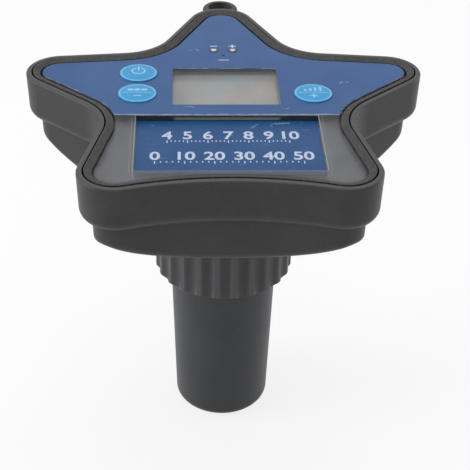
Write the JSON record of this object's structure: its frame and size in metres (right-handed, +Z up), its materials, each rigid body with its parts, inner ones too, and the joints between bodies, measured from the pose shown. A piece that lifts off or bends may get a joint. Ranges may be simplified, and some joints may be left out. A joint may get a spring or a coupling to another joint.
{
  "type": "floating water quality meter",
  "caption": "Floating water quality meter: star-shaped housing with a display and round keys, over a sensor probe held by a fluted nut and kept in a storage cap.",
  "frame": {"origin": "centre of the storage cap's foot, on the surface that the meter stands on", "axes": "+Z up through the probe, nut and display; +Y towards the star's rear tip with the tether eye; +X to the right of the display as it is read"},
  "size_m": [0.1822, 0.1918, 0.1715],
  "materials": {
    "housing_plastic": "satin moulded",
    "bezel_plastic": "fine grain",
    "seal_rubber": "matt",
    "screw_steel": "plain",
    "window_clear": "clear moulded",
    "label_blue": "printed film",
    "plate_blue": "printed film",
    "display_glass": "anti-glare",
    "light_guide": "clear moulded",
    "frame_plastic": "moulded",
    "board_green": "solder mask",
    "chip_black": "moulded",
    "shield_steel": "tinned",
    "stud_metal": "polished",
    "contact_gold": "plated",
    "lamp_clear": "clear",
    "cell_wrap": "shrink wrap",
    "connector_plastic": "moulded",
    "lead_rubber": "matt",
    "probe_plastic": "satin moulded",
    "electrode_glass": "blown",
    "sensor_steel": "brushed",
    "nut_plastic": "satin moulded",
    "cap_plastic": "satin moulded",
    "sponge_foam": "open foam",
    "key_blue": "soft gloss",
    "plunger_white": "moulded"
  },
  "bodies": {
    "housing": {"upper_housing": "housing_plastic", "lower_housing": "housing_plastic", "hull_gasket": "seal_rubber", "housing_screws": "screw_steel", "tether_eye": "housing_plastic", "bezel_frame": "bezel_plastic", "bezel_gasket": "seal_rubber", "face_window": "window_clear", "face_label": "label_blue", "info_plate": "plate_blue", "lcd_glass": "display_glass", "lcd_backlight": "light_guide", "lcd_contact_strips": "seal_rubber", "lcd_frame": "frame_plastic", "main_board": "board_green", "board_screws": "screw_steel", "board_chips": "chip_black", "radio_module": "shield_steel", "key_switches": "chip_black", "charge_contacts": "stud_metal", "charge_magnets": "shield_steel", "status_led": "lamp_clear", "light_pipe": "light_guide", "battery_cell": "cell_wrap", "battery_cradle": "frame_plastic", "battery_terminals": "shield_steel", "cradle_screws": "screw_steel", "probe_socket": "connector_plastic", "socket_contacts": "contact_gold", "probe_lead": "lead_rubber"},
    "probe": {"probe_body": "probe_plastic", "flange_seal": "seal_rubber", "stem_seals": "seal_rubber", "cap_seals": "seal_rubber", "probe_plug": "connector_plastic", "contact_pins": "contact_gold", "ph_electrode": "electrode_glass", "orp_electrode": "electrode_glass", "conductivity_pins": "sensor_steel", "temperature_sleeve": "sensor_steel", "probe_guard": "probe_plastic"},
    "nut": {"lock_nut": "nut_plastic"},
    "cap": {"storage_cap": "cap_plastic", "soaking_sponge": "sponge_foam"},
    "power_key": {"power_button": "key_blue", "power_plunger": "plunger_white"},
    "mode_key": {"mode_button": "key_blue", "mode_plunger": "plunger_white"},
    "calibrate_key": {"calibrate_button": "key_blue", "calibrate_plunger": "plunger_white"}
  },
  "joints": [
    {"name": "power_press", "type": "slide", "parent": "housing", "child": "power_key", "axis": [0, 0, -1], "range_m": [0, 0.0005], "stiffness_N_per_m": 800, "springref_m": -0.0003},
    {"name": "mode_press", "type": "slide", "parent": "housing", "child": "mode_key", "axis": [0, 0, -1], "range_m": [0, 0.0005], "stiffness_N_per_m": 800, "springref_m": -0.0003},
    {"name": "calibrate_press", "type": "slide", "parent": "housing", "child": "calibrate_key", "axis": [0, 0, -1], "range_m": [0, 0.0005], "stiffness_N_per_m": 800, "springref_m": -0.0003},
    {"name": "probe_drop", "type": "slide", "parent": "housing", "child": "probe", "axis": [0, 0, -1], "range_m": [0, 0.015]},
    {"name": "nut_turn", "type": "hinge", "parent": "probe", "child": "nut", "pos_m": [0, 0, 0.1], "axis": [0, 0, -1], "range_deg": [0, 1800]},
    {"name": "cap_pull", "type": "slide", "parent": "probe", "child": "cap", "axis": [0, 0, -1], "range_m": [0, 0.06]}
  ],
  "couplings": [
    {"joint": "probe_drop", "follows": "nut_turn", "m_per_rad": 0.000477}
  ]
}
